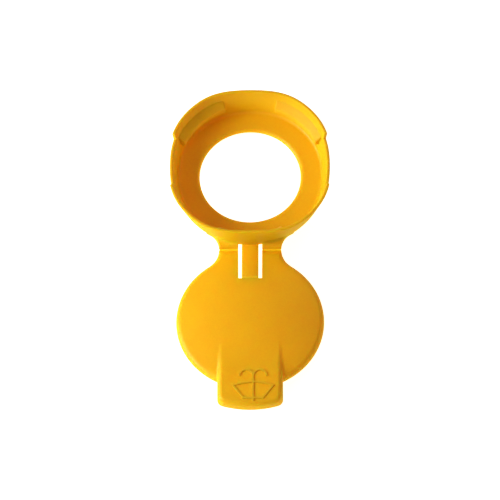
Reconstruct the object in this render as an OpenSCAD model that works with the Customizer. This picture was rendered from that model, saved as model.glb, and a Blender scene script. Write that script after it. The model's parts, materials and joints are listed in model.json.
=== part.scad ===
// Flip-top dust cover for an eyewash spray head, lying open and flat.
// Z = 0 is the outer face of the collar's flange and the mating face of the lid.
// The collar's skirt stands up along +Z, the lid lies towards -Y, and folding the
// lid by half a turn about the hinge line lays it on the flange's outer face.

/* [Collar] */
// Diameter of the opening that the water comes out of
opening_d = 46; // [36:0.5:56]
// Thickness of the ring-shaped flange
flange_t = 2; // [1.4:0.1:3]
// Outer diameter of the skirt where it leaves the flange
base_d = 68.8; // [64:0.2:84]
// How far the rim leans out beyond the base
rim_flare = 4; // [2.5:0.1:5]
// How far the flatter front and back of the rim stay inside the round
flat_in = 1.9; // [1:0.1:2.2]
// How far the flatter left and right of the rim stay inside the round
side_in = 1.2; // [0.6:0.1:2.2]
// Radius of the rim's four flatter sides
flat_r = 68; // [50:1:90]
// Height of the rim above the outer face
skirt_h = 17.2; // [14:0.2:22]
// Wall thickness of the skirt
wall_t = 1.8; // [1.2:0.1:2.4]
// Width of the lowered rim on each side
window_w = 25; // [16:0.2:28]
// How far the lowered rim lies away from the hinge
window_shift = 1.2; // [0:0.1:2]
// Depth of the lowered rim on each side
window_drop = 3.8; // [1:0.1:5]

/* [Snap lugs] */
// Angle at which a rear lug starts, from the sideways axis
lug_start = 24; // [20:1:30]
// Angle that a rear lug spans
lug_sweep = 46; // [20:1:50]
// Angle that the front lug spans
front_sweep = 52; // [40:1:60]
// How far a lug reaches in from the wall
lug_reach = 2.3; // [1:0.1:3.5]
// Height of a lug's underside above the flange's floor
lug_seat = 4; // [2:0.1:6]
// Height of the upright face that grips the spray head
lug_land = 3.3; // [2:0.1:4.5]

/* [Hinge] */
// Width of the neck at the hinge line
hinge_w = 28.4; // [22:0.2:32]
// Distance from the skirt's base to the hinge line
hinge_gap = 2.45; // [1.8:0.05:4]
// Thickness of the neck plates beside the hinge
neck_t = 2; // [1.4:0.1:3]
// Thickness of a living-hinge film
film_t = 0.4; // [0.25:0.05:0.6]
// Length of a living-hinge film, across the hinge line
film_l = 1; // [0.6:0.1:1.6]
// How far the plates stop short of the points where they run out to nothing
land_blunt = 2.2; // [1.5:0.1:3]

/* [Spring strap] */
// Width of the strap between its two slots
strap_w = 7.6; // [5:0.1:9]
// Thickness of the strap
strap_t = 1.4; // [1:0.1:1.8]
// Width of the slot on each side of the strap
strap_slot = 1.6; // [1.2:0.05:2.2]
// Height of the strap's underside above the mating face, at the skirt
strap_lift = 0.3; // [0.1:0.1:0.5]
// Distance from the hinge line to the end of the notch in the lid
strap_reach = 16.8; // [12:0.2:18]
// Length of each film at the strap's ends
strap_film_l = 0.8; // [0.5:0.1:1.2]

/* [Lid] */
// How far the lid's edge stays inside the skirt's base when it is shut
lid_inset = 0.8; // [0.2:0.1:2]
// Wall thickness of the lid, its rim and the notch's lining
lid_wall = 1.6; // [1.2:0.1:2.2]
// Height of the upright rim under the dome
lid_rim_h = 2; // [1.4:0.1:3]
// Thickness of the dome at its edge
dome_edge_t = 0.8; // [0.5:0.1:1.5]
// Rise of the dome from its edge to its crown
dome_rise = 4; // [3:0.1:6]

/* [Finger tab] */
// Width of the tab
tab_w = 29.8; // [20:0.2:34]
// How far the tab's rounded end reaches beyond the lid's edge
tab_overhang = 10.4; // [8:0.2:15]
// How far the tab's flat top lies below the crown of the dome
tab_drop = 1.6; // [0.4:0.1:2]
// Height of the step where the tab's top rises out of the dome
tab_step = 0.2; // [0.1:0.05:0.4]
// Wall thickness of the tab
tab_wall = 1.6; // [1.2:0.1:2.2]

/* [Pictogram] */
// Width of the bowl drawn on the tab
bowl_w = 18; // [12:0.5:19]
// Width of the bowl's foot
bowl_foot_w = 8.8; // [4:0.2:10]
// Depth of the bowl
bowl_h = 6.2; // [5:0.2:8]
// Rise of the bowl's arched brim
brim_rise = 1.8; // [1:0.1:3]
// How far the stem runs on below the bowl's foot
stem_foot = 1.3; // [0.5:0.1:2]
// Height of the stem above the bowl's foot
stem_h = 11.4; // [9:0.2:12]
// Radius of each arched water jet
jet_r = 3.1; // [2:0.1:4]
// Width of the raised lines
line_w = 0.8; // [0.5:0.1:1.2]
// Height of the raised lines
line_h = 0.35; // [0.2:0.05:0.6]
// Distance from the bowl's foot to the tab's end
picto_margin = 3.8; // [3:0.1:5]
// Sideways place of the drawing on the tab
picto_x = 1.3; // [-3:0.1:3]

/* [Hidden] */
$fn = 360;
yellow = "#f2b01e";
amber = "#e09a22";
past = 1; // how far a cutter runs past the face that it cuts

base_r = base_d / 2;
rim_r = base_r + rim_flare;
lid_r = base_r - lid_inset;
hinge_reach = base_r + hinge_gap;
tab_reach = lid_r + tab_overhang;
flange_r = base_r - wall_t;
flare = rim_flare / skirt_h;
flat_base = base_r + 0.25; // the flatter faces start just outside the base circle
window_floor = skirt_h - window_drop;

lug_bottom = flange_t + lug_seat;
lug_top = lug_bottom + lug_land;
lug_r = skirt_r(lug_top) - wall_t - lug_reach;

hinge_y = -hinge_reach;
lid_y = -2 * hinge_reach;
slot_x = strap_w / 2 + strap_slot;
notch_end = hinge_y - strap_reach;
strap_end = notch_end + strap_film_l;
strap_start = -base_r - strap_film_l;
film_in = (strap_t - film_t) / 2; // how far a film lies inside the strap's two faces

dome_edge_z = lid_rim_h + dome_edge_t;
crown_z = dome_edge_z + dome_rise;
dome_r = (lid_r * lid_r + dome_rise * dome_rise) / (2 * dome_rise);
dome_centre = crown_z - dome_r;
strap_tip_z = dome_z(notch_end - lid_y) - strap_t; // the strap ends flush with the dome
tab_z = crown_z - tab_drop;
tab_under = tab_z - tab_wall;
tab_in_w = tab_w - 2 * tab_wall;
tab_start_r = dome_out_r(tab_z - tab_step);
tab_meet_r = dome_out_r(tab_under);
foot_y = lid_y - tab_reach + picto_margin;

// Outer radius of the flared skirt at a height
function skirt_r(z) = base_r + flare * z;

// Distance from the centre to a flatter side at a height, for its distance at the rim
function flat_at(rim, z) = flat_base + (rim - flat_base) * z / skirt_h;

// Height of the dome's outer face at a distance from the lid's centre
function dome_z(r) = dome_centre + sqrt(dome_r * dome_r - r * r);

// Distance from the lid's centre at which the dome's outer face has come down to a height
function dome_out_r(z) = sqrt(dome_r * dome_r - pow(z - dome_centre, 2));

// Radius of the hollow side curve that runs tangent from the neck into a round plate
function neck_r(r) = (pow(hinge_w / 2, 2) + pow(hinge_reach, 2) - r * r) / (2 * r - hinge_w);

// Half width at which a neck plate is cut off blunt, beside a round plate of radius r
function land_x(r) = r * (hinge_w / 2 + neck_r(r)) / (r + neck_r(r)) - land_blunt;

// The wide cone that flattens the side towards +Y, for its distance at the rim
module flat_cone(rim, inset, z0, z1) {
  centre = rim - flat_r;
  translate([0, centre, z0])
    cylinder(h = z1 - z0,
             r1 = flat_at(rim, z0) - centre - inset,
             r2 = flat_at(rim, z1) - centre - inset);
}

// The space inside the skirt's outer face, moved in by inset, between two heights
module skirt_body(inset, z0, z1) {
  intersection() {
    translate([0, 0, z0])
      cylinder(h = z1 - z0, r1 = skirt_r(z0) - inset, r2 = skirt_r(z1) - inset);
    flat_cone(rim_r - flat_in, inset, z0, z1);
    rotate([0, 0, 180])
      flat_cone(rim_r - flat_in, inset, z0, z1);
    rotate([0, 0, 90])
      flat_cone(rim_r - side_in, inset, z0, z1);
    rotate([0, 0, -90])
      flat_cone(rim_r - side_in, inset, z0, z1);
  }
}

module collar_flange() {
  color(yellow)
    difference() {
      cylinder(h = flange_t, r = flange_r);
      translate([0, 0, -past])
        cylinder(h = flange_t + 2 * past, d = opening_d);
    }
}

module collar_skirt() {
  color(yellow)
    difference() {
      skirt_body(0, 0, skirt_h);
      translate([0, 0, -past])
        cylinder(h = flange_t + past, r = flange_r);
      skirt_body(wall_t, flange_t, skirt_h + past);
      for (side = [-1, 1])
        translate([side * rim_r, window_shift, window_floor + skirt_h / 2])
          cube([rim_r, window_w, skirt_h], center = true);
    }
}

// One lug that spans sweep degrees from start: a sloped lead-in over an upright face
module snap_lug(start, sweep) {
  color(amber)
    intersection() {
      rotate([0, 0, start])
        rotate_extrude(angle = sweep)
          polygon([
            [lug_r, lug_bottom],
            [rim_r, lug_bottom],
            [rim_r, lug_top + rim_r - lug_r],
            [lug_r, lug_top]
          ]);
      skirt_body(wall_t, flange_t, skirt_h);
    }
}

// Plate between the hinge line and a round plate of radius r, on the +X side
module land(r) {
  x1 = land_x(r);
  translate([0, hinge_y, 0])
    linear_extrude(neck_t)
      difference() {
        translate([slot_x, film_l / 2])
          square([x1 - slot_x, hinge_reach]);
        translate([hinge_w / 2 + neck_r(r), 0])
          circle(r = neck_r(r));
        translate([0, hinge_reach])
          circle(r = r - 0.4);
      }
}

module collar_land() {
  color(yellow)
    difference() {
      land(base_r);
      skirt_body(0, 0, skirt_h);
    }
}

module lid_land() {
  color(yellow)
    difference() {
      translate([0, 2 * hinge_y, 0])
        mirror([0, 1, 0])
          land(lid_r);
      translate([0, lid_y, -past])
        cylinder(h = crown_z, r = lid_r);
    }
}

module hinge_film() {
  color(amber)
    translate([slot_x, hinge_y - film_l / 2, 0])
      cube([hinge_w / 2 - slot_x, film_l, film_t]);
}

module strap_root_film() {
  color(amber)
    difference() {
      translate([-strap_w / 2, strap_start, strap_lift + film_in])
        cube([strap_w, 2 * strap_film_l, film_t]);
      skirt_body(0, 0, skirt_h);
    }
}

// The strap climbs from the skirt's base to the dome, flush with the neck and the dome
module strap_panel() {
  color(yellow)
    rotate([90, 0, 90])
      translate([0, 0, -strap_w / 2])
        linear_extrude(strap_w)
          polygon([
            [strap_start, strap_lift],
            [strap_start, strap_lift + strap_t],
            [strap_end, strap_tip_z + strap_t],
            [strap_end, strap_tip_z]
          ]);
}

module strap_tip_film() {
  color(amber)
    translate([-strap_w / 2, notch_end, strap_tip_z + film_in])
      cube([strap_w, strap_film_l, film_t]);
}

// The notch that the strap lies in, grown by a margin
module notch(grow) {
  translate([-slot_x - grow, notch_end - grow, -past])
    cube([2 * (slot_x + grow), strap_reach + grow, crown_z + 2 * past]);
}

// The space under the tab's top, from where the dome's face drops clear of it
module tab_hollow() {
  difference() {
    intersection() {
      translate([-tab_in_w / 2, lid_y - tab_reach, -past])
        cube([tab_in_w, tab_reach, tab_under + past]);
      translate([0, lid_y, -past])
        cylinder(h = tab_under + past, r = tab_reach - tab_wall);
    }
    translate([0, lid_y, -2 * past])
      cylinder(h = tab_under + 4 * past, r = tab_meet_r);
  }
}

// A round body about the lid's centre, under a dome that is moved in by inset
module domed(r, inset, z0) {
  translate([0, lid_y, 0])
    rotate_extrude()
      intersection() {
        translate([0, dome_centre])
          circle(r = dome_r - inset, $fn = 4 * $fn);
        translate([0, z0])
          square([r, crown_z + past - z0]);
      }
}

// The half of the lid's rim on the +X side, from the notch to the tab
module lid_rim() {
  color(yellow)
    difference() {
      translate([0, lid_y, 0])
        cylinder(h = lid_rim_h, r = lid_r);
      translate([0, lid_y, -past])
        cylinder(h = lid_rim_h + 2 * past, r = lid_r - lid_wall);
      translate([-lid_r - past, lid_y - lid_r - past, -past])
        cube([lid_r + past, 2 * (lid_r + past), lid_rim_h + 2 * past]);
      notch(0);
      tab_hollow();
    }
}

module lid_dome() {
  color(yellow)
    difference() {
      domed(lid_r, 0, lid_rim_h);
      domed(lid_r + past, lid_wall, 0);
      notch(0);
      tab_hollow();
    }
}

module lid_notch_lining() {
  color(yellow)
    difference() {
      intersection() {
        notch(lid_wall);
        domed(lid_r - lid_wall, lid_wall, 0);
      }
      notch(0);
    }
}

// The tab's outline between two heights, with its end rounded about the lid's centre
module tab_block(z0, z1) {
  intersection() {
    translate([-tab_w / 2, lid_y - tab_reach, z0])
      cube([tab_w, tab_reach, z1 - z0]);
    translate([0, lid_y, z0])
      cylinder(h = z1 - z0, r = tab_reach);
  }
}

module finger_tab_top() {
  color(yellow)
    difference() {
      tab_block(tab_under, tab_z);
      domed(lid_r, 0, 0);
      translate([0, lid_y, tab_under - past])
        cylinder(h = tab_wall + 2 * past, r = tab_start_r);
    }
}

module finger_tab_skirt() {
  color(yellow)
    difference() {
      tab_block(0, tab_under);
      tab_hollow();
      domed(lid_r, 0, 0);
    }
}

// A straight raised line between two points
module line(a, b) {
  d = b - a;
  translate([a[0], a[1], 0])
    rotate([0, 0, atan2(d[1], d[0])])
      translate([-line_w / 2, -line_w / 2, 0])
        cube([norm(d) + line_w, line_w, line_h]);
}

// A raised arch: the top of a ring of radius r, as high as rise above its feet
module arch(r, rise) {
  translate([0, rise - r, 0])
    difference() {
      cylinder(h = line_h, r = r + line_w / 2);
      translate([0, 0, -past])
        cylinder(h = line_h + 2 * past, r = r - line_w / 2);
      translate([-r - line_w, -r - line_w, -past])
        cube([2 * (r + line_w), 2 * r - rise + line_w, line_h + 2 * past]);
    }
}

// A bowl with a stem through it, and two jets that arch out from the stem's top
module eyewash_pictogram() {
  brim_r = (bowl_w * bowl_w / 4 + brim_rise * brim_rise) / (2 * brim_rise);
  color(amber)
    translate([picto_x, foot_y, tab_z]) {
      for (side = [-1, 1]) {
        line([side * bowl_foot_w / 2, 0], [side * bowl_w / 2, bowl_h]);
        translate([side * jet_r, stem_h - line_w / 2, 0])
          arch(jet_r, jet_r);
      }
      line([-bowl_foot_w / 2, 0], [bowl_foot_w / 2, 0]);
      line([0, -stem_foot], [0, stem_h]);
      translate([0, bowl_h, 0])
        arch(brim_r, brim_rise);
    }
}

collar_flange();
collar_skirt();
snap_lug(lug_start, lug_sweep);  // snap_lug_rear_right
mirror([1, 0, 0]) snap_lug(lug_start, lug_sweep);  // snap_lug_rear_left
snap_lug(270 - front_sweep / 2, front_sweep);  // snap_lug_front
mirror([1, 0, 0]) collar_land();  // collar_land_left
collar_land();  // collar_land_right
mirror([1, 0, 0]) hinge_film();  // hinge_film_left
hinge_film();  // hinge_film_right
strap_root_film();
strap_panel();
strap_tip_film();
mirror([1, 0, 0]) lid_land();  // lid_land_left
lid_land();  // lid_land_right
mirror([1, 0, 0]) lid_rim();  // lid_rim_left
lid_rim();  // lid_rim_right
lid_dome();
lid_notch_lining();
finger_tab_top();
finger_tab_skirt();
eyewash_pictogram();
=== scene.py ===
# %% [markdown]
# # A flip-top dust cover, modelled as the one moulding that it is
# The real cover is a single piece of yellow polypropylene. A flared collar clips over an eyewash spray head, and a
# thin hinge joins it to a shallow domed lid with a finger tab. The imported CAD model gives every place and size, and
# this lesson builds smooth visible skins around it. Each step says what the piece is, how it could be made, and why
# one way was picked.

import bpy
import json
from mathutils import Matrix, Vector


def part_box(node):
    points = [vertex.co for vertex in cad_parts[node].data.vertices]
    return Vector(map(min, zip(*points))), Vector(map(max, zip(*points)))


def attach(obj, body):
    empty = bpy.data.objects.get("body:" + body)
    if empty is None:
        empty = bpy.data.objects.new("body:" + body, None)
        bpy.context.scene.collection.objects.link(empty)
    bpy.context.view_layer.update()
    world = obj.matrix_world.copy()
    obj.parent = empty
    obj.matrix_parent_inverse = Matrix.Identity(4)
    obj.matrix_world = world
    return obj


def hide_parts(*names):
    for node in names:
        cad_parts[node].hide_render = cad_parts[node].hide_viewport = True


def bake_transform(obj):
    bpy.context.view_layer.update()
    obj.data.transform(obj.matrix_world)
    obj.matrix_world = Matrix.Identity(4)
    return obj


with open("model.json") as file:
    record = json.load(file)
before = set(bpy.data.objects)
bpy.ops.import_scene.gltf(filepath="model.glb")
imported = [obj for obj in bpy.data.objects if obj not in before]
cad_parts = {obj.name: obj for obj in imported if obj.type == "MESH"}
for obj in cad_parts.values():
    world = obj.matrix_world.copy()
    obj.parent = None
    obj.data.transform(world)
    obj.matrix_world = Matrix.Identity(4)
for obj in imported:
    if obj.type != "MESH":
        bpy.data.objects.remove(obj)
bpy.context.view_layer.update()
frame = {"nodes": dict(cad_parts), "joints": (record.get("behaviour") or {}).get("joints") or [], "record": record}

# %% [markdown]
# ## Sizes
# A skin that is built around CAD has to follow its numbers. They could be typed in again, but then they would drift
# apart. Here the places come from the boxes of the CAD nodes and from the hinge, and only the small roundings, which
# the CAD leaves sharp, get values of their own. All shaping is done in millimetres and turned to metres at the end.

# %% Sizes taken from the CAD nodes
import json
import math

import bmesh
import bpy
from mathutils import Matrix, Vector

MM = 0.001
WALL = 1.8  # thickness of the skirt at its base
RIM_WALL = 1.35  # thickness of the skirt at its rim
LID_WALL = 1.6


def corners(node):
    """Lowest and highest corner of a CAD node, in millimetres."""
    low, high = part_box(node)
    return low / MM, high / MM


flange_high = corners("collar_flange")[1]
dome_high = corners("lid_dome")[1]
tab_low, tab_high = corners("finger_tab_top")
film_low, film_high = corners("hinge_film_right")
mounts = {mount["name"]: mount for mount in frame["record"]["mounts"]}

opening_r = mounts["spray_opening"]["dims"]["r_mm"]
hinge_y = frame["joints"][0]["pos_m"][1] / MM
lid_y = 2 * hinge_y  # the lid's centre lies as far beyond the hinge as the collar's lies before it
floor_z = flange_high.z
rim_z = corners("collar_skirt")[1].z
base_r = flange_high.x + WALL
lid_r = dome_high.x
crown_z = dome_high.z
tab_z = tab_high.z
tab_reach = lid_y - tab_low.y
tab_half = tab_high.x
slot_x = film_low.x
neck_half = film_high.x
film_t = film_high.z
film_half = (film_high.y - film_low.y) / 2
print(f"opening {opening_r:.2f}, base {base_r:.2f}, rim height {rim_z:.2f}, lid {lid_r:.2f}, hinge at {hinge_y:.2f}")

# %% [markdown]
# ## Drawing in rings
# A moulded shell is a closed section carried round a centre. A spin would do for a round one, but this collar is
# slightly squared and its rim dips on both sides. So a circle is added, each of its corners remembers its own number,
# and the circle is extruded again and again. After each extrusion the new corners slide to where that step of the
# section lies. The mesh stays an even net of four-sided faces, which takes soft highlights well.

# %% Helpers that draw in rings


def slide(piece, points):
    """Moves each selected corner to the point of its own column, given in millimetres."""
    mesh = bmesh.from_edit_mesh(piece.data)
    column = mesh.verts.layers.int["column"]
    for corner in mesh.verts:
        if corner.select:
            corner.co = Vector(points[corner[column]]) * MM
    bmesh.update_edit_mesh(piece.data)


def number_columns(name):
    """Names the new piece, gives each of its corners a number, and selects them in edit mode."""
    piece = bpy.context.object
    piece.name = piece.data.name = name
    numbers = piece.data.attributes.new("column", "INT", "POINT")
    numbers.data.foreach_set("value", range(len(piece.data.vertices)))
    bpy.ops.object.mode_set(mode="EDIT")
    bpy.ops.mesh.select_mode(type="VERT")
    bpy.ops.mesh.select_all(action="SELECT")
    return piece


def draw_rings(name, rings, start_closed=False, end_closed=False):
    """A circle that is extruded from ring to ring. Either end can be closed with a fan."""
    bpy.ops.object.select_all(action="DESELECT")
    bpy.ops.mesh.primitive_circle_add(vertices=len(rings[0]), radius=MM)
    piece = number_columns(name)
    slide(piece, rings[0])
    if start_closed:
        bpy.ops.mesh.extrude_region_move()
        bpy.ops.mesh.merge(type="CENTER")
        mesh = bmesh.from_edit_mesh(piece.data)
        pole = next(corner for corner in mesh.verts if corner.select)
        bpy.ops.mesh.select_mode(type="EDGE")
        bpy.ops.mesh.select_all(action="DESELECT")
        for edge in mesh.edges:
            edge.select = pole not in edge.verts
        bmesh.update_edit_mesh(piece.data)
    for ring in rings[1:]:
        bpy.ops.mesh.extrude_region_move()
        slide(piece, ring)
    if end_closed:
        bpy.ops.mesh.merge(type="CENTER")
    return piece


# %% Helper that finishes a drawn skin
SAME_PLACE = 0.0005  # corners nearer than this are merged, in millimetres


def finish_skin(piece, sharp):
    """Merges what meets, turns the faces outward and smooths all but the edges sharper than an angle."""
    bpy.ops.mesh.select_mode(type="VERT")
    bpy.ops.mesh.select_all(action="SELECT")
    bpy.ops.mesh.remove_doubles(threshold=SAME_PLACE * MM)
    bpy.ops.mesh.normals_make_consistent(inside=False)
    bpy.ops.object.mode_set(mode="OBJECT")
    piece.data.attributes.remove(piece.data.attributes["column"])
    bpy.ops.object.select_all(action="DESELECT")
    piece.select_set(True)
    bpy.context.view_layer.objects.active = piece
    bpy.ops.object.shade_smooth_by_angle(angle=math.radians(sharp))
    print(f"{piece.name}: {len(piece.data.vertices)} corners, {len(piece.data.polygons)} faces")
    return piece


# %% [markdown]
# ## Collar
# The collar is a ring-shaped floor with a round opening, and a skirt that leans out and grips the spray head. Seen
# from above the skirt is a circle with four slightly flatter sides, and on the left and right its rim is lower, so
# that a finger can spring it open. It could be cut from a cone with booleans, which leaves hard, messy edges. The
# rings give every edge the small radius that a moulding tool has, and a fillet where the floor turns up into the wall.

# %% The shape of the skirt
RIM_FLARE = 4.15  # how far the skirt leans out from its base to its rim
FLAT_SIDE, FLAT_BACK = 1.35, 2.05  # how far the flats lie inside the rim's circle
SHORT_SIDE, SHORT_BACK = 2.2, 1.45  # 1 for a long, soft flat, and more for a shorter one
FRONT_FULLER = 0.75  # the two corners beside the hinge stand out a little more
FULLER_SPREAD = 0.75


def skirt_out(angle, z):
    """Distance from the centre to the skirt's outer face, in a direction and at a height."""
    sideways = math.cos(angle) ** 2
    corner = math.sin(2 * angle) ** 2
    inset = sideways * FLAT_SIDE + (1 - sideways) * FLAT_BACK
    shortness = SHORT_BACK + (SHORT_SIDE - SHORT_BACK) * sideways
    reach = RIM_FLARE - inset * (1 - corner) ** shortness
    if math.sin(angle) < 0:
        reach += FRONT_FULLER * corner**FULLER_SPREAD
    return base_r + reach * z / rim_z


def skirt_in(angle, z):
    """Distance from the centre to the skirt's inner face."""
    return skirt_out(angle, z) - WALL + (WALL - RIM_WALL) * z / rim_z


print(f"the rim reaches {skirt_out(math.pi / 2, rim_z):.2f} mm to the back")

# %% Height of the rim, with its lowered windows
WINDOW_HALF, WINDOW_SHIFT = 12.5, 1.2  # the lowered rim lies a little away from the hinge
WINDOW_DROP = 3.8
STEP_BEFORE, STEP_AFTER = 0.1, 0.6  # the step lies between these distances from the window's end


def ease(value, low, high):
    """0 below low, 1 above high, and a smooth rise between them."""
    share = min(max((value - low) / (high - low), 0), 1)
    return share * share * (3 - 2 * share)


def rim_height(angle):
    """Height of the rim in a direction: it steps down where the side windows are."""
    across = abs(skirt_out(angle, rim_z) * math.sin(angle) - WINDOW_SHIFT)
    return rim_z - WINDOW_DROP * (1 - ease(across, WINDOW_HALF - STEP_BEFORE, WINDOW_HALF + STEP_AFTER))


print(f"the rim is {rim_height(math.pi / 2):.2f} mm high, and {rim_height(0):.2f} mm in its windows")

# %% Columns of the collar, crowded where the rim steps down
WINDOW_GAP, CORNER_GAP, FINE_GAP = 0.02, 0.0186, 0.002  # angles between columns, in radians
FINE_COUNT = 8  # fine gaps on each side of a step
STEP_ANGLE = 0.36  # rough direction of a step, close enough to find the skirt's radius there
WHOLE_TURN = 2 * math.pi
columns = set()
for side in (1, -1):
    step_middle = WINDOW_HALF + side * WINDOW_SHIFT + (STEP_AFTER - STEP_BEFORE) / 2
    step_at = math.asin(step_middle / skirt_out(STEP_ANGLE, rim_z))
    quarter = [WINDOW_GAP * i for i in range(int((step_at - WINDOW_GAP) / WINDOW_GAP))]
    quarter += [step_at + FINE_GAP * i for i in range(-FINE_COUNT, FINE_COUNT + 1)]
    corner_at = step_at + (FINE_COUNT + 3) * FINE_GAP
    quarter += [corner_at + CORNER_GAP * i for i in range(70)]
    quarter = [angle for angle in quarter if angle < math.pi / 2 - 2 * FINE_GAP] + [math.pi / 2]
    for angle in quarter:
        columns.add(round(side * angle % WHOLE_TURN, 5))
        columns.add(round((math.pi - side * angle) % WHOLE_TURN, 5))
columns = sorted(columns)
print(len(columns), "columns round the collar")

# %% The section of the collar
FILLET = 1.7  # between the floor and the wall
FILLET_TURN = 78  # the wall leans out, so its fillet turns less than a right angle
LIP = 1.6  # rounding of the opening's upper edge
FOOT = 0.4  # the skirt's lower edge is rounded over this width, and the opening's a little less
OPENING_FOOT = 0.35
STRAIGHT_TO = 0.7  # the outer face is straight down to this height, and rounded below it
HALF_TOP = RIM_WALL / 2
TOP_FULLNESS = 0.6  # 1 for a round top, less for a flatter one with small corners
WALL_STEPS = 12


def collar_section(angle):
    """Points of the closed section in one direction, as (distance, height)."""
    section = [(opening_r + OPENING_FOOT, 0), (opening_r + 0.1, 0.1), (opening_r, 0.3)]
    for turn in range(0, 91, 15):
        bend = math.radians(turn)
        section.append((opening_r + LIP * (1 - math.cos(bend)), floor_z - LIP * (1 - math.sin(bend))))

    wall_foot = floor_z + FILLET
    fillet_r = skirt_in(angle, wall_foot) - FILLET * math.sin(math.radians(FILLET_TURN))
    for share in (0.1, 0.3, 0.5, 0.7, 0.85, 1):
        section.append((opening_r + LIP + share * (fillet_r - opening_r - LIP), floor_z))
    for turn in range(13, FILLET_TURN + 1, 13):
        bend = math.radians(turn)
        section.append((fillet_r + FILLET * math.sin(bend), floor_z + FILLET * (1 - math.cos(bend))))

    top = rim_height(angle) - HALF_TOP
    for step in range(1, WALL_STEPS + 1):
        z = wall_foot + (top - wall_foot) * step / WALL_STEPS
        section.append((skirt_in(angle, z), z))
    middle = (skirt_in(angle, top) + skirt_out(angle, top)) / 2
    half = (skirt_out(angle, top) - skirt_in(angle, top)) / 2
    for turn in range(155, 0, -26):
        bend = math.radians(turn)
        across = math.copysign(abs(math.cos(bend)) ** TOP_FULLNESS, math.cos(bend))
        section.append((middle + half * across, top + HALF_TOP * math.sin(bend) ** TOP_FULLNESS))
    for step in range(WALL_STEPS + 1):
        z = top + (STRAIGHT_TO - top) * step / WALL_STEPS
        section.append((skirt_out(angle, z), z))

    foot = skirt_out(angle, 0)
    section += [(foot - 0.03, 0.32), (foot - 0.15, 0.1), (foot - FOOT, 0)]
    for share in (0.25, 0.5, 0.75):
        section.append((foot - FOOT + share * (opening_r + OPENING_FOOT - foot + FOOT), 0))
    return section + [section[0]]


print(len(collar_section(0)) - 1, "points in the collar's section")

# %% The collar, drawn ring by ring


def around(angle, point):
    """Turns a point of a section, as (distance, height), to its place in a direction."""
    return (point[0] * math.cos(angle), point[0] * math.sin(angle), point[1])


sections = [[around(angle, point) for point in collar_section(angle)] for angle in columns]
collar = finish_skin(draw_rings("collar_shell", list(zip(*sections))), 35)
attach(collar, "collar")
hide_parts("collar_flange", "collar_skirt")

# %% [markdown]
# ## Snap lugs
# Three lugs inside the skirt snap under the edge of the spray head. Each has a sloped lead-in above and an upright
# face below. One could be a swept curve, but a short ring of faces that is extruded along the wall, and drawn in at
# both ends, gives the same shape with clean ends. The left lug is a mirror image of the right one, and the front lug
# is the same section along another stretch of the wall.

# %% The section of a lug
grip = mounts["head_grip"]
lug_r = grip["dims"]["r_mm"]
lug_bottom = grip["pos_m"][2] / MM - grip["dims"]["length_mm"] / 2
lug_top = lug_bottom + grip["dims"]["length_mm"]
lead_top = lug_top + 3.15  # the lead-in slopes from the lug's face up to here
lug_middle = lug_bottom + 3  # the height that a lug's ends are drawn in to


def lug_section(angle, drawn_in):
    """Outline of the lug's section: buried in the wall on the outside, rounded on the inside."""
    wall_low, wall_top, wall_middle = (skirt_out(angle, z) - WALL / 2 for z in (lug_bottom, lead_top, lug_middle))
    face_top = skirt_in(angle, lead_top)
    shape = [
        (wall_low, lug_bottom + 0.05), (lug_r + 0.9, lug_bottom), (lug_r + 0.35, lug_bottom + 0.03),
        (lug_r + 0.08, lug_bottom + 0.18), (lug_r, lug_bottom + 0.5), (lug_r, lug_top - 0.5),
        (lug_r + 0.09, lug_top - 0.1), (lug_r + 0.33, lug_top + 0.26), (lug_r + 1.6, lug_top + 1.6),
        (face_top - 0.1, lead_top - 0.2), (face_top + 0.1, lead_top), (wall_top, lead_top + 0.1),
    ]
    keep = 1 - drawn_in
    return [(wall_middle + (r - wall_middle) * keep, lug_middle + (z - lug_middle) * keep) for r, z in shape]


print(f"lugs from {lug_bottom:.2f} to {lead_top:.2f} mm high, at radius {lug_r:.2f}")

# %% Helpers for a lug, and for a mirrored copy
LUG_ENDS = (0.0, 0.28), (0.12, 0.12), (0.35, 0.04), (0.8, 0)  # degrees from an end, and how much it is drawn in
LUG_STEP = 2


def cap_ends(piece, sharp):
    """Closes the open rings at both ends of a drawn piece, and finishes it."""
    bpy.ops.mesh.edge_face_add()
    bpy.ops.mesh.select_all(action="DESELECT")
    bpy.ops.mesh.select_non_manifold()
    bpy.ops.mesh.edge_face_add()
    return finish_skin(piece, sharp)


def draw_lug(name, start, sweep):
    """One lug along the wall, from a start and over a sweep in degrees."""
    stops = list(LUG_ENDS)
    stops += [(degree, 0) for degree in range(LUG_STEP, sweep - 1, LUG_STEP)]
    stops += [(sweep - degree, drawn_in) for degree, drawn_in in reversed(LUG_ENDS)]
    rings = []
    for degree, drawn_in in stops:
        angle = math.radians(start + degree)
        rings.append([around(angle, point) for point in lug_section(angle, drawn_in)])
    return cap_ends(draw_rings(name, rings), 40)


def mirrored(piece, name):
    """A copy on the other side, with its own mesh, which is turned right side out again."""
    twin = piece.copy()
    twin.data = piece.data.copy()
    twin.name = twin.data.name = name
    bpy.context.scene.collection.objects.link(twin)
    twin.data.transform(Matrix.Diagonal((-1, 1, 1, 1)))
    twin.data.flip_normals()
    return twin


# %% The three lugs
REAR_START, REAR_SWEEP, FRONT_SWEEP = 24, 46, 52
FRONT_MIDDLE = 270  # the direction of the hinge
lug = draw_lug("snap_lug_skin_rear_right", REAR_START, REAR_SWEEP)
lugs = {
    "snap_lug_rear_right": lug,
    "snap_lug_rear_left": mirrored(lug, "snap_lug_skin_rear_left"),
    "snap_lug_front": draw_lug("snap_lug_skin_front", FRONT_MIDDLE - FRONT_SWEEP // 2, FRONT_SWEEP),
}
for node, piece in lugs.items():
    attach(piece, "collar")
    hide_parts(node)
print(len(lugs), "lugs")

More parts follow.
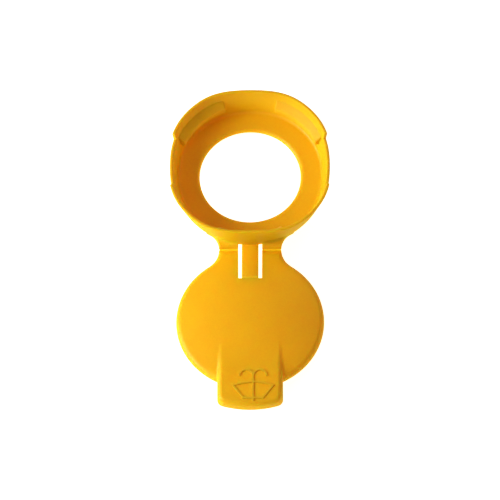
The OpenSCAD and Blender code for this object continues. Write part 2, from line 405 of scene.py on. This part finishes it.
# %% [markdown]
# ## Neck plates on the collar
# Two plates run from the foot of the skirt to the hinge line, one on each side of the spring strap. Their sides are
# hollow curves, and a fillet carries them up the wall. A grid is laid over each plate, its corners slide to the
# plate's outline and height, and the grid is extruded down to the underside to close it.

# %% Helper for slabs made from a grid


def draw_slab(name, rows, across, top, bottom_z):
    """A grid whose corners go where top says, and which is extruded down to a flat underside."""
    bpy.ops.object.select_all(action="DESELECT")
    bpy.ops.mesh.primitive_grid_add(x_subdivisions=across, y_subdivisions=rows, size=2)
    places = [((corner.co.x + 1) / 2, (corner.co.y + 1) / 2) for corner in bpy.context.object.data.vertices]
    tops = [top(a, b) for a, b in places]
    piece = number_columns(name)
    slide(piece, tops)
    bpy.ops.mesh.extrude_region_move()
    slide(piece, [(x, y, bottom_z) for x, y, z in tops])
    return piece


# %% Helpers for rounded heights


def soft_min(a, b, blend):
    """The smaller of two heights, with a rounding of that width where they meet."""
    share = max(blend - abs(a - b), 0) / blend
    return min(a, b) - share * share * blend / 4


def soft_max(a, b, blend):
    """The larger of two heights, rounded in the same way."""
    return -soft_min(-a, -b, blend)


def edge_drop(inside, rounding):
    """How far a rounded edge has dropped, at a distance inside the outline."""
    short = min(max(rounding - inside, 0), rounding)
    return rounding - math.sqrt(rounding * rounding - short * short)


# %% The two neck plates
NECK_LENGTH = 8.1  # from the hinge's film to inside the skirt's wall
NECK_EDGE, NECK_RISE, NECK_T = 0.7, 1.2, 2.0  # height at the film, slope beside it, and full height
NECK_BLEND = 0.4  # rounding between the slope and the flat
NECK_BURIED = 0.6  # how far the plate goes into the wall
NECK_FILLET, FILLET_RISE = 1.5, 1.25  # width of the fillet up the wall, and its height for each mm of that
FILLET_Z = 3.0  # height on the wall that the fillet's distance is measured to
SIDE_ROUND, SIDE_SOFTNESS, SLOT_ROUND = 0.55, 0.8, 0.3  # roundings of the outer side and of the slot's side
# the neck's hollow side is an arc that is upright at the hinge line and meets the circle of the skirt's base
collar_side_r = (neck_half**2 + hinge_y**2 - base_r**2) / (2 * base_r - 2 * neck_half)


def neck_side(y, side_r):
    """Half width of the neck at a distance y beyond the hinge line."""
    return neck_half + side_r - math.sqrt(side_r**2 - min(y, side_r) ** 2)


def collar_neck_top(a, b):
    """Place of a grid corner: a runs from the slot to the outer side, and b from the film to the wall."""
    beyond = film_half + b * NECK_LENGTH
    y = hinge_y + beyond
    width = neck_side(beyond, collar_side_r) - slot_x
    x = slot_x + a * width
    height = soft_min(NECK_EDGE + NECK_RISE * (beyond - film_half), NECK_T, NECK_BLEND)
    from_wall = math.hypot(x, y) - skirt_out(math.atan2(y, x), FILLET_Z)
    height += edge_drop(max(from_wall, 0), NECK_FILLET) * FILLET_RISE
    height -= edge_drop((1 - a) * width, SIDE_ROUND) * SIDE_SOFTNESS + edge_drop(a * width, SLOT_ROUND)
    if from_wall < -NECK_BURIED:
        x, y = (v * (1 + (-NECK_BURIED - from_wall) / math.hypot(x, y)) for v in (x, y))
    return x, y, height


neck = finish_skin(draw_slab("collar_neck_right", 30, 26, collar_neck_top, 0), 40)
necks = {"collar_land_right": neck, "collar_land_left": mirrored(neck, "collar_neck_left")}
for node, piece in necks.items():
    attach(piece, "collar")
    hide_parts(node)

# %% [markdown]
# ## Lid
# The lid is one thin shell: a shallow dome whose edge rolls over into an upright rim, a neck that slopes down to the
# hinge, and a flat finger tab with drafted walls that grows out of the dome. A sculpted patch would be hard to repeat.
# Here one formula gives the height of every point, each outline ring is a smaller copy of the one outside it, and the
# rings run over the top, down the edge and back along the hollow underside.

# %% Helpers that walk along an outline


def walk(points, start, end, count):
    """Adds points along a straight line, without its last one."""
    for i in range(count):
        share = i / count
        points.append((start[0] + share * (end[0] - start[0]), start[1] + share * (end[1] - start[1])))


def walk_arc(points, centre, radius, start, end, count):
    """Adds points along an arc given in degrees, without its last one."""
    for i in range(count):
        angle = math.radians(start + (end - start) * i / count)
        points.append((centre[0] + radius * math.cos(angle), centre[1] + radius * math.sin(angle)))


# %% The lid's outline about its own centre, walked once round
TAB_CORNER = 3.2
FINER_FROM = -25  # direction on the circle's edge from which the columns stand closer, towards the tab
# the lid's neck has the same kind of side, which meets the circle of the lid
lid_side_r = (neck_half**2 + hinge_y**2 - lid_r**2) / (2 * lid_r - 2 * neck_half)
side_x = neck_half + lid_side_r
tangent = math.degrees(math.atan2(-hinge_y, side_x))
neck_end = -hinge_y - film_half
neck_corner = neck_side(film_half, lid_side_r)
neck_turn = math.degrees(math.atan2(neck_end + hinge_y, neck_corner - side_x))
junction = math.degrees(math.asin(tab_half / lid_r))
corner_centre_y = -math.sqrt((tab_reach - TAB_CORNER) ** 2 - (tab_half - TAB_CORNER) ** 2)
corner_turn = math.degrees(math.asin((tab_half - TAB_CORNER) / (tab_reach - TAB_CORNER)))

half_outline = []
walk(half_outline, (0, neck_end), (neck_corner, neck_end), 22)
walk_arc(half_outline, (side_x, -hinge_y), lid_side_r, neck_turn % 360, 180 + tangent, 16)
walk_arc(half_outline, (0, 0), lid_r, tangent, FINER_FROM, 46)
walk_arc(half_outline, (0, 0), lid_r, FINER_FROM, junction - 90, 56)
walk(half_outline, (tab_half, -math.sqrt(lid_r**2 - tab_half**2)), (tab_half, corner_centre_y), 12)
walk_arc(half_outline, (tab_half - TAB_CORNER, corner_centre_y), TAB_CORNER, 0, corner_turn - 90, 10)
walk_arc(half_outline, (0, 0), tab_reach, corner_turn - 90, -90, 20)
outline = half_outline + [(0, -tab_reach)] + [(-x, y) for x, y in reversed(half_outline[1:])]
print(len(outline), "columns round the lid")

# %% Height of the lid's top
EDGE_Z = 2.8  # height where the dome's sphere would meet its edge
EDGE_ROUND = 2.2
EDGE_SLACK, EDGE_FALL = 0.02, 20  # further than this outside the edge, the top falls this steeply
NECK_CLIMB = 3.4  # the lid climbs to its dome over this length, steepest at the hinge
NECK_LOW = 0.42
LOWEST_TOP = 0.6
TAB_ROUND, TAB_FALL = 2.4, 8  # rounding of the tab's top, and slope of its walls
TAB_BLEND = 1.0  # rounding where the tab grows out of the dome
TAB_FROM = -8  # the tab's formula only counts beyond this place, and lies below everything before it
BELOW_ALL = -20
rise = crown_z - EDGE_Z
dome_r = (lid_r**2 + rise**2) / (2 * rise)  # of the sphere through the crown and the edge


def dome_height(r, inset=0):
    """Height of the dome's sphere, or of the one inside it."""
    reach = dome_r - inset
    return crown_z - dome_r + math.sqrt(reach**2 - min(r, reach) ** 2)


def tab_inside(x, y):
    """How far a point lies inside the tab's outline."""
    side = tab_half - abs(x)
    end = tab_reach - math.hypot(x, y)
    if side < TAB_CORNER and end < TAB_CORNER:
        return TAB_CORNER - math.hypot(TAB_CORNER - side, TAB_CORNER - end)
    return min(side, end)


def tab_height(x, y):
    """Flat top with one wide rounding into its steep walls."""
    if y > TAB_FROM:
        return BELOW_ALL
    inside = tab_inside(x, y)
    return tab_z - edge_drop(max(inside, 0), TAB_ROUND) + TAB_FALL * min(inside, 0)


def lid_top(x, y):
    """Height of the top: the dome and its rounded edge, the neck's ramp, and the tab."""
    r = math.hypot(x, y)
    climb = min((neck_end - y) / NECK_CLIMB, 1)
    height = NECK_LOW + (dome_height(r) - NECK_LOW) * climb * (2 - climb)
    inside = lid_r - r
    if y > abs(x) * math.tan(math.radians(tangent)):
        inside = math.hypot(side_x - abs(x), y + hinge_y) - lid_side_r
    height -= edge_drop(max(inside, 0), EDGE_ROUND * climb) + max(-inside - EDGE_SLACK, 0) * EDGE_FALL
    return max(soft_max(height, tab_height(x, y), TAB_BLEND), LOWEST_TOP)


print(f"dome of radius {dome_r:.0f} mm, {lid_top(0, 0):.2f} mm high, and the tab {lid_top(0, -tab_reach + 5):.2f} mm")

# %% Height of the lid's hollow
END_THICKER = 0.4  # the tab's end wall is thicker than its sides
SIDE_EASE = -0.2, 0.9  # the hollow steps up into the tab between these distances from its walls
RADIUS_EASE = 25.4, 26.6  # and between these radii


def hollow_reach(x, y):
    """Distance from the lid's centre to the inside of its rim, in the direction of a point."""
    reach = lid_r - LID_WALL
    if y < 0:
        to_side = (tab_half - LID_WALL) / max(abs(x), 1e-6) * math.hypot(x, y)
        reach = max(reach, min(to_side, tab_reach - LID_WALL - END_THICKER))
    return reach


def lid_hollow(x, y):
    """Height of the underside."""
    r = math.hypot(x, y)
    in_tab = min(tab_half - LID_WALL - abs(x), tab_reach - LID_WALL - r) if y < 0 else -1
    ceiling = (tab_z - LID_WALL) * ease(in_tab, *SIDE_EASE) * ease(r, *RADIUS_EASE)
    return max(dome_height(r, LID_WALL), ceiling)


hollow = []
for x, y in outline:
    inward = hollow_reach(x, y) / math.hypot(x, y)
    hollow.append((x * inward, y * inward))
print(f"the hollow is {lid_hollow(0, 0):.2f} mm deep in the middle")

# %% The lid's rings, from the crown over the edge and back to the middle of the hollow
top_steps = [0.02, 0.05]  # each ring is the outline, made smaller by its step
while top_steps[-1] < 0.86:
    top_steps.append(top_steps[-1] + (0.03 if top_steps[-1] < 0.4 else 0.0165))
top_steps += [0.875, 0.89, 0.903, 0.916, 0.928, 0.94, 0.95, 0.96]
top_steps += [0.968, 0.975, 0.981, 0.986, 0.99, 0.9935, 0.9965, 0.9985, 1]
HOLLOW_RINGS = 34
hollow_steps = [0.995, 0.985, 0.97] + [0.97 * (1 - i / HOLLOW_RINGS) for i in range(1, HOLLOW_RINGS)]
WALL_FOOT = 0.3  # the edge's wall ends at this height, and two small rings round its foot

lid_rings = [[(x * step, y * step, lid_top(x * step, y * step)) for x, y in outline] for step in top_steps]
for share in (0.66, 0.33, 0):
    lid_rings.append([(x, y, WALL_FOOT + share * (lid_top(x, y) - WALL_FOOT)) for x, y in outline])
for step, z in ((0.9975, 0.08), (0.993, 0)):
    lid_rings.append([(x * step, y * step, z) for x, y in outline])
lid_rings.append([(x * 1.004, y * 1.004, 0) for x, y in hollow])
for share in (0.05, 0.5, 0.85):
    lid_rings.append([(x, y, max(share * lid_hollow(x * 0.99, y * 0.99), 0.1)) for x, y in hollow])
for step in hollow_steps:
    lid_rings.append([(x * step, y * step, lid_hollow(x * step, y * step)) for x, y in hollow])
lid_rings = [[(x, y + lid_y, z) for x, y, z in ring] for ring in lid_rings]
lid = finish_skin(draw_rings("lid_shell", lid_rings, start_closed=True, end_closed=True), 45)

# %% [markdown]
# ## Notch for the strap
# A notch in the lid lets the spring strap lie flush with the dome. It is a straight-sided cut, so a boolean with a
# block is the right tool: the block gets the notch's place from the strap's tip and from the hinge films, and its
# inner corners are rounded a little first.

# %% The block that cuts the notch
BLOCK_HEIGHT, BLOCK_MIDDLE = 14, 4  # well below and above the lid
PAST_HINGE = 3
NOTCH_CORNER = 0.35
tip_low, tip_high = corners("strap_tip_film")
notch_end = tip_low.y
bpy.ops.object.select_all(action="DESELECT")
bpy.ops.mesh.primitive_cube_add(size=1)
cutter = bpy.context.object
bpy.ops.object.mode_set(mode="EDIT")
bpy.ops.mesh.select_mode(type="EDGE")
bpy.ops.mesh.select_all(action="DESELECT")
mesh = bmesh.from_edit_mesh(cutter.data)
for corner in mesh.verts:
    y = hinge_y + PAST_HINGE if corner.co.y > 0 else notch_end
    corner.co = Vector((2 * slot_x * corner.co.x, y, BLOCK_HEIGHT * corner.co.z + BLOCK_MIDDLE)) * MM
for edge in mesh.edges:
    first, second = edge.verts
    if abs(first.co.z - second.co.z) > MM and first.co.y < notch_end * MM + MM:
        edge.select_set(True)
bmesh.update_edit_mesh(cutter.data)
bpy.ops.mesh.bevel(offset=NOTCH_CORNER * MM, segments=4)
bpy.ops.object.mode_set(mode="OBJECT")
print("notch from", round(hinge_y, 2), "to", round(notch_end, 2))

# %% Cut the notch
cut = lid.modifiers.new("notch", "BOOLEAN")
cut.object = cutter
cut.operation = "DIFFERENCE"
cut.solver = "EXACT"
bpy.ops.object.select_all(action="DESELECT")
bpy.context.view_layer.objects.active = lid
lid.select_set(True)
bpy.ops.object.modifier_apply(modifier="notch")
bpy.data.objects.remove(cutter)
bpy.ops.object.shade_smooth_by_angle(angle=math.radians(40))
print("lid after the cut:", len(lid.data.polygons), "faces")
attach(lid, "lid")
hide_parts("lid_dome", "lid_rim_left", "lid_rim_right", "lid_land_left", "lid_land_right")
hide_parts("finger_tab_top", "finger_tab_skirt")

# %% [markdown]
# ## Spring strap
# The strap between the two slots snaps the lid open or shut. It climbs from the foot of the skirt to the dome, and it
# thins to a film at both ends. It is drawn as a chain of small rounded sections, close together.

# %% The strap's section along its length
STRAP_T, STRAP_END_T = 1.4, 0.75  # thickness between the films, and at them
STRAP_CORNER = 0.3
FILM_EASE = -0.25, 0.5  # the thickness changes between these distances from a film
strap_low, strap_high = corners("strap_panel")
root_low, root_high = corners("strap_root_film")
strap_half = strap_high.x
strap_start, strap_stop = strap_high.y, strap_low.y
root_middle = (root_low.z + root_high.z) / 2
tip_middle = (tip_low.z + tip_high.z) / 2


def strap_middle(y):
    """Height of the strap's middle along its length."""
    share = min(max((y - strap_start) / (strap_stop - strap_start), 0), 1)
    return root_middle + share * (tip_middle - root_middle)


def strap_thickness(y):
    """Full between the films, and thin at both ends."""
    at_root = ease(strap_start - y, *FILM_EASE)
    at_tip = ease(y - strap_stop, *FILM_EASE)
    return STRAP_END_T + (STRAP_T - STRAP_END_T) * min(at_root, at_tip)


def strap_ring(y):
    """A small rounded section across the strap."""
    half_t = strap_thickness(y) / 2
    corner = min(STRAP_CORNER, half_t * 0.8)
    middle = strap_middle(y)
    ring = []
    for sx, sz, first in ((1, 1, 0), (-1, 1, 90), (-1, -1, 180), (1, -1, 270)):
        for turn in (0, 30, 60, 90):
            bend = math.radians(first + turn)
            ring.append((
                sx * (strap_half - corner) + corner * math.cos(bend), y,
                middle + sz * (half_t - corner) + corner * math.sin(bend),
            ))
    return ring


print(f"strap {2 * strap_half:.1f} mm wide, rising from {root_middle:.2f} to {tip_middle:.2f} mm")

# %% The strap, drawn section by section
ROOT_BURIED, TIP_BURIED = 0.35, 0.25  # how far its ends go into the wall and into the lid
END_GAP, MIDDLE_GAP = 0.12, 0.33  # between sections, closer near the ends
root_y = root_high.y + ROOT_BURIED
stations = [root_y, root_y - 0.2]
while stations[-1] > strap_start - 1:
    stations.append(stations[-1] - END_GAP)
while stations[-1] > strap_stop + 1:
    stations.append(stations[-1] - MIDDLE_GAP)
while stations[-1] > notch_end - TIP_BURIED:
    stations.append(stations[-1] - END_GAP)
strap = cap_ends(draw_rings("spring_strap", [strap_ring(y) for y in stations]), 50)
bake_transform(strap)
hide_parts("strap_root_film", "strap_panel", "strap_tip_film")

# %% [markdown]
# ## Living hinges
# On the hinge line the plastic thins to a film of 0.4 mm, so that it can be flexed thousands of times. Each film is a
# short grid with many rows across the line, slightly hollow on top as the tool leaves it, and it spans the gap between
# the two neck plates.

# %% The two films
FILM_OVERLAP = 0.18  # how far each end goes into its plate
FILM_SLOT_IN, FILM_SIDE_IN, FILM_WAIST = 0.08, 0.12, 0.1  # the sides lie inside the plates' sides
FILM_HOLLOW, FILM_BOTTOM = 0.45, 0.02


def film_top(a, b):
    """Place of a grid corner: a runs from the slot to the outer side, and b from plate to plate."""
    y = hinge_y + (2 * b - 1) * (film_half + FILM_OVERLAP)
    reach = abs(2 * b - 1)
    side = neck_half - FILM_SIDE_IN - FILM_WAIST * (1 - reach)
    x = slot_x + FILM_SLOT_IN + a * (side - slot_x - FILM_SLOT_IN)
    return x, y, film_t + FILM_HOLLOW * max(reach - 0.5, 0) ** 2


film = finish_skin(draw_slab("hinge_skin_right", 17, 12, film_top, FILM_BOTTOM), 50)
films = {"hinge_film_right": film, "hinge_film_left": mirrored(film, "hinge_skin_left")}
for node, piece in films.items():
    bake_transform(piece)
    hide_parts(node)

# %% [markdown]
# ## Polypropylene
# Injection-moulded polypropylene is a waxy, satin plastic. Light goes a little way in, so thin edges glow and shadows
# stay warm. The tool's spark-eroded surface gives it a fine grain, and slight sink and flow make broad, soft waves in
# the reflections. A flat colour would look like paint, so colour, roughness and bump each get their own small pattern.
# Small ribs get a shallower glow than broad walls, or the light that spreads inside would wash their edges out.

# %% Colours and the one helper that adds a node


def hex_colour(code):
    """Turns an sRGB hex value to the linear colour that a shader needs."""
    parts = [int(code[i : i + 2], 16) / 255 for i in (1, 3, 5)]
    linear = [p / 12.92 if p <= 0.04045 else ((p + 0.055) / 1.055) ** 2.4 for p in parts]
    return (*linear, 1)


def add_node(tree, kind, settings=None, links=None):
    """Adds a node, sets what settings names, and links its inputs."""
    node = tree.nodes.new(kind)
    for name, value in (settings or {}).items():
        if isinstance(name, str) and hasattr(node, name):
            setattr(node, name, value)
        else:
            node.inputs[name].default_value = value
    for name, source in (links or {}).items():
        tree.links.new(source, node.inputs[name])
    return node


# %% Colour of the moulded plastic


def pigment(tree, place, body, shade, edge_polish_and_highlight):
    """Two close colours in soft patches with fine specks, and a painted highlight that brightens the rounded edges."""
    # slow colour drift of the melt, patches about 14 mm across
    melt = add_node(tree, "ShaderNodeTexNoise", {"Scale": 70.0, "Detail": 3.0, "Roughness": 0.5}, {"Vector": place})
    # pigment specks, about 0.8 mm, drawn as coarse as they need to be to show
    speck = add_node(
        tree, "ShaderNodeTexNoise", {"Scale": 1300.0, "Detail": 2.0, "Roughness": 0.6}, {"Vector": place}
    )
    blend = add_node(
        tree, "ShaderNodeMath", {"operation": "MULTIPLY_ADD", 1: 0.75},
        {0: melt.outputs["Fac"], 2: speck.outputs["Fac"]},
    )
    spread = add_node(
        tree, "ShaderNodeMapRange", {"From Min": 0.65, "From Max": 1.1, "To Min": 0.0, "To Max": 1.0},
        {"Value": blend.outputs[0]},
    )
    colour = add_node(
        tree, "ShaderNodeMix", {"data_type": "RGBA", 6: hex_colour(body), 7: hex_colour(shade)},
        {0: spread.outputs[0]},
    )
    # painted highlight: the rounded edges are screened a little brighter in colour, as if they caught the light
    painted_edge_highlight = add_node(
        tree, "ShaderNodeMix", {"data_type": "RGBA", "blend_type": "SCREEN", 7: hex_colour("#2a2008")},
        {0: edge_polish_and_highlight, 6: colour.outputs[2]},
    )
    return painted_edge_highlight.outputs[2]


# %% Gloss and grain of the moulded plastic


def satin(tree, place, rough, edge_polish_and_highlight):
    """Roughness in soft patches about 6 mm across, and smoother on the rounded edges, which handling polishes."""
    haze = add_node(tree, "ShaderNodeTexNoise", {"Scale": 160.0, "Detail": 3.0}, {"Vector": place})
    roughness = add_node(
        tree, "ShaderNodeMapRange",
        {"From Min": 0.3, "From Max": 0.7, "To Min": rough - 0.05, "To Max": rough + 0.07},
        {"Value": haze.outputs["Fac"]},
    )
    polished = add_node(
        tree, "ShaderNodeMath", {"operation": "MULTIPLY_ADD", 1: -0.08}, {0: edge_polish_and_highlight, 2: roughness.outputs[0]}
    )
    return polished.outputs[0]


def tool_grain(tree, place):
    """Bumps: the tool's spark-eroded grain, about 0.5 mm, on sink waves about 18 mm across."""
    grain = add_node(
        tree, "ShaderNodeTexNoise", {"Scale": 2000.0, "Detail": 4.0, "Roughness": 0.6}, {"Vector": place}
    )
    wave = add_node(tree, "ShaderNodeTexNoise", {"Scale": 55.0, "Detail": 1.0}, {"Vector": place})
    sink = add_node(
        tree, "ShaderNodeBump", {"Strength": 0.5, "Distance": 0.00025}, {"Height": wave.outputs["Fac"]}
    )
    relief = add_node(
        tree, "ShaderNodeBump", {"Strength": 0.35, "Distance": 0.00002},
        {"Height": grain.outputs["Fac"], "Normal": sink.outputs[0]},
    )
    return relief.outputs[0]


# %% The moulded plastic, as broad walls, as small ribs and as thin film
PLASTIC_IOR = 1.49  # polypropylene
GLOW_COLOURS = 1.0, 0.3, 0.05  # red light goes furthest into a yellow plastic


def moulded_polypropylene(name, body, shade, glow, soft_depth, rough):
    """Satin polypropylene. body and shade are its two close colours, glow how much light goes in."""
    material = bpy.data.materials.new(name)
    material.use_nodes = True
    tree = material.node_tree
    tree.nodes.clear()
    place = add_node(tree, "ShaderNodeTexCoord").outputs["Object"]
    # handling polishes the curved edges of the moulding, so they are smoother; their colour is also brightened, which
    # is a painted highlight
    edge = add_node(tree, "ShaderNodeNewGeometry").outputs["Pointiness"]
    edge_polish_and_highlight = add_node(
        tree, "ShaderNodeMapRange", {"From Min": 0.52, "From Max": 0.62, "To Min": 0.0, "To Max": 1.0},
        {"Value": edge},
    ).outputs[0]
    shader = add_node(
        tree, "ShaderNodeBsdfPrincipled",
        {
            "IOR": PLASTIC_IOR, "Specular IOR Level": 0.25,
            "Subsurface Weight": glow, "Subsurface Radius": GLOW_COLOURS, "Subsurface Scale": soft_depth,
        },
        {
            "Base Color": pigment(tree, place, body, shade, edge_polish_and_highlight),
            "Roughness": satin(tree, place, rough, edge_polish_and_highlight),
            "Normal": tool_grain(tree, place),
        },
    )
    add_node(tree, "ShaderNodeOutputMaterial", {}, {"Surface": shader.outputs[0]})
    return material


wall_finish = moulded_polypropylene("satin_moulded_polypropylene", "#F0C813", "#ECC010", 0.55, 0.003, 0.47)
# the ribs' shallower glow is real light going in; their colour, set a little stronger in red than the walls', is
# painted light that lifts the lugs, which face away from the main light
rib_finish_painted_light = moulded_polypropylene("satin_moulded_polypropylene_ribs_painted_light", "#F6C31A", "#F2BB17", 0.45, 0.0016, 0.6)
# the film's deeper glow is real light going in, and its paler colour is a painted glow for the light that shines
# through the thin plastic
film_finish_painted_glow = moulded_polypropylene("flexed_polypropylene_film_painted_glow", "#FCD62A", "#F8D01C", 0.6, 0.004, 0.36)
print("finishes:", wall_finish.name, rib_finish_painted_light.name, film_finish_painted_glow.name)

# %% Each piece gets its finish
PAST_FILM = 0.15  # the strap's film finish reaches this far past its films
finishes = {
    wall_finish: [collar, lid, strap, *necks.values()],
    rib_finish_painted_light: lugs.values(),
    film_finish_painted_glow: films.values(),
}
for finish, pieces in finishes.items():
    for piece in pieces:
        piece.data.materials.clear()
        piece.data.materials.append(finish)
# the strap's thin ends take the film finish with its painted glow
strap.data.materials.append(film_finish_painted_glow)
for face in strap.data.polygons:
    if not strap_stop + PAST_FILM < face.center.y / MM < strap_start - PAST_FILM:
        face.material_index = 1
for node in ("lid_notch_lining", "eyewash_pictogram"):
    for place in frame["nodes"][node].material_slots:
        place.material = rib_finish_painted_light
print("pieces with a new skin:", sum(len(pieces) for pieces in finishes.values()))

# %% [markdown]
# ## Floor, light and camera
# The cover lies open on a plain white table. An environment picture could light it, but a few soft boxes are easier to
# aim and need no file. The main light is a broad soft window from the left and a little to the front, low enough to
# shade the dome from left to right. A weak one opens the shadows on the right, and a pale surround fills the rest.
# The camera stands far off with a long lens, so that near and far ends keep their true proportions.

# %% The white floor
FLOOR_Z = -7.3  # the shut lid hangs below the collar's flat face, so the floor lies below the lid
bpy.ops.object.select_all(action="DESELECT")
bpy.ops.mesh.primitive_plane_add(size=6, location=(0, 0, FLOOR_Z * MM))
floor = bpy.context.object
floor.name = "floor"
laminate = bpy.data.materials.new("white_table_laminate")
laminate.use_nodes = True
surface = laminate.node_tree.nodes["Principled BSDF"].inputs
surface["Base Color"].default_value = hex_colour("#F4F4F4")
surface["Roughness"].default_value = 0.7
surface["Emission Color"].default_value = hex_colour("#FFFFFF")
surface["Emission Strength"].default_value = 0.88  # lit a little from within, as a table in a white studio looks
floor.data.materials.append(laminate)
floor.visible_glossy = False  # the low walls would otherwise mirror it as a milky haze
print("floor at", FLOOR_Z, "mm")

# %% Lights
LIT_PLACE = Vector((0, -0.04, 0))  # the middle of the cover, in metres


def soft_light(name, place, size, power):
    """A square soft box at a place, in metres, turned to the cover."""
    light = bpy.data.lights.new(name, "AREA")
    light.shape = "SQUARE"
    light.size = size
    light.energy = power
    lamp = bpy.data.objects.new(name, light)
    bpy.context.scene.collection.objects.link(lamp)
    lamp.location = place
    lamp.rotation_euler = (LIT_PLACE - lamp.location).to_track_quat("-Z", "Y").to_euler()
    print(name, "shines with", power, "watts")


soft_light("window_left", (-0.49, -0.11, 0.25), 0.30, 3.35)
soft_light("fill_back_right", (0.4, 0.4, 0.6), 0.6, 0.4)
world = bpy.data.worlds.new("pale_room")
bpy.context.scene.world = world
world.use_nodes = True
surround = world.node_tree.nodes["Background"].inputs
surround["Color"].default_value = hex_colour("#FFDFC4")
surround["Strength"].default_value = 0.3
bpy.context.scene.view_settings.view_transform = "Standard"

# %% Camera
VIEW_WIDTH = 227.5  # what the camera takes in at the cover, in millimetres
SENSOR = 36
DISTANCE = 6.0  # in metres
target = Vector((-0.1, -36.75, 0)) * MM
back = Vector((0.012, -0.445, 0.8955)).normalized()  # from the cover to the camera
up = (Vector((0, 1, 0)) - back.y * back).normalized()
right = up.cross(back)
camera_data = bpy.data.cameras.new("camera")
camera = bpy.data.objects.new("camera", camera_data)
bpy.context.scene.collection.objects.link(camera)
turn = Matrix((right, up, back)).transposed().to_4x4()
camera.matrix_world = Matrix.Translation(target + back * DISTANCE) @ turn
camera_data.sensor_width = SENSOR
camera_data.lens = SENSOR * DISTANCE / (VIEW_WIDTH * MM)
camera_data.clip_end = 20
bpy.context.scene.camera = camera
print("camera lens:", round(camera_data.lens, 1), "mm")
